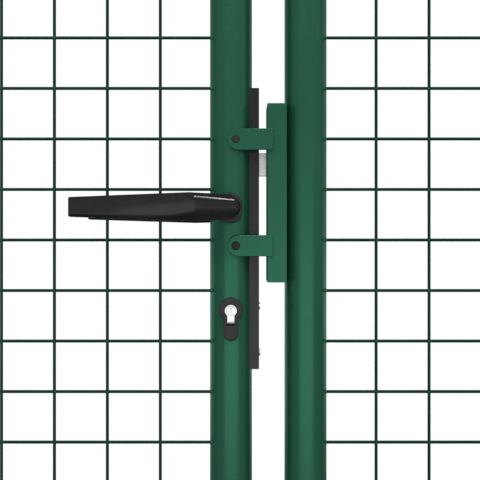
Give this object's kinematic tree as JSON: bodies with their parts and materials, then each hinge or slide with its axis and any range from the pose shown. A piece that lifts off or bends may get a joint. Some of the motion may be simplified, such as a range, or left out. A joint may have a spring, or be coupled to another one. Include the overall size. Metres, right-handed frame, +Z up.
{
  "type": "double-leaf mesh garden gate",
  "caption": "Double-leaf welded-mesh garden gate on two round posts, with a slim lock, lever handles, a sprung latch and stop tabs where the leaves meet.",
  "frame": {"origin": "middle of the left post's foot, at ground level", "axes": "+X along the closed gate towards the right post, +Y away from the side that carries the stop tabs (the way the leaves open), +Z up"},
  "size_m": [2.9403, 0.121, 1.309],
  "materials": {
    "green_coat": "dark green powder coat, satin",
    "green_wire": "dark green powder coat on welded wire",
    "black_coat": "black powder coat, satin",
    "black_plastic": "moulded black plastic, fine grain",
    "lever_black": "black moulded lever, satin",
    "cap_plastic": "moulded black plastic cap",
    "zinc_steel": "galvanised steel",
    "lock_steel": "nickel-plated steel",
    "buffer_rubber": "moulded rubber"
  },
  "bodies": {
    "posts": {"left_post": "green_coat", "right_post": "green_coat", "left_post_cap": "cap_plastic", "right_post_cap": "cap_plastic", "left_upper_hinge_bolt": "zinc_steel", "left_lower_hinge_bolt": "zinc_steel", "right_upper_hinge_bolt": "zinc_steel", "right_lower_hinge_bolt": "zinc_steel", "left_hinge_nuts": "zinc_steel", "right_hinge_nuts": "zinc_steel"},
    "left_leaf": {"left_hinge_stile": "green_coat", "left_lock_stile": "green_coat", "left_top_rail": "green_coat", "left_bottom_rail": "green_coat", "left_outer_mesh": "green_wire", "left_inner_mesh": "green_wire", "left_hinge_eyes": "green_coat", "lock_case": "black_coat", "lock_screws": "lock_steel", "dead_bolt": "lock_steel", "front_rose": "black_plastic", "back_rose": "black_plastic", "front_key_plate": "black_plastic", "back_key_plate": "black_plastic", "key_cylinder": "lock_steel"},
    "handle": {"front_lever": "lever_black", "back_lever": "lever_black", "spindle": "lock_steel"},
    "latch": {"latch_bolt": "lock_steel"},
    "right_leaf": {"right_hinge_stile": "green_coat", "right_meeting_stile": "green_coat", "right_top_rail": "green_coat", "right_bottom_rail": "green_coat", "right_outer_mesh": "green_wire", "right_inner_mesh": "green_wire", "right_hinge_eyes": "green_coat", "keep_box": "green_coat", "upper_stop_tab": "green_coat", "lower_stop_tab": "green_coat", "stop_buffers": "buffer_rubber", "drop_bolt": "zinc_steel", "drop_bolt_guides": "green_coat"}
  },
  "joints": [
    {"name": "left_leaf_swing", "type": "hinge", "parent": "posts", "child": "left_leaf", "pos_m": [0.052, 0, 0.65], "axis": [0, 0, 1], "range_deg": [0, 90]},
    {"name": "right_leaf_swing", "type": "hinge", "parent": "posts", "child": "right_leaf", "pos_m": [2.7963, 0, 0.65], "axis": [0, 0, -1], "range_deg": [-90, 90]},
    {"name": "handle_turn", "type": "hinge", "parent": "left_leaf", "child": "handle", "pos_m": [1.387, 0, 0.756], "axis": [0, -1, 0], "range_deg": [0, 35], "stiffness_Nm_per_rad": 1.5, "springref_deg": -22.92},
    {"name": "latch_slide", "type": "slide", "parent": "left_leaf", "child": "latch", "axis": [-1, 0, 0], "range_m": [0, 0.013]}
  ],
  "couplings": [
    {"joint": "latch_slide", "follows": "handle_turn", "m_per_rad": 0.021281}
  ]
}
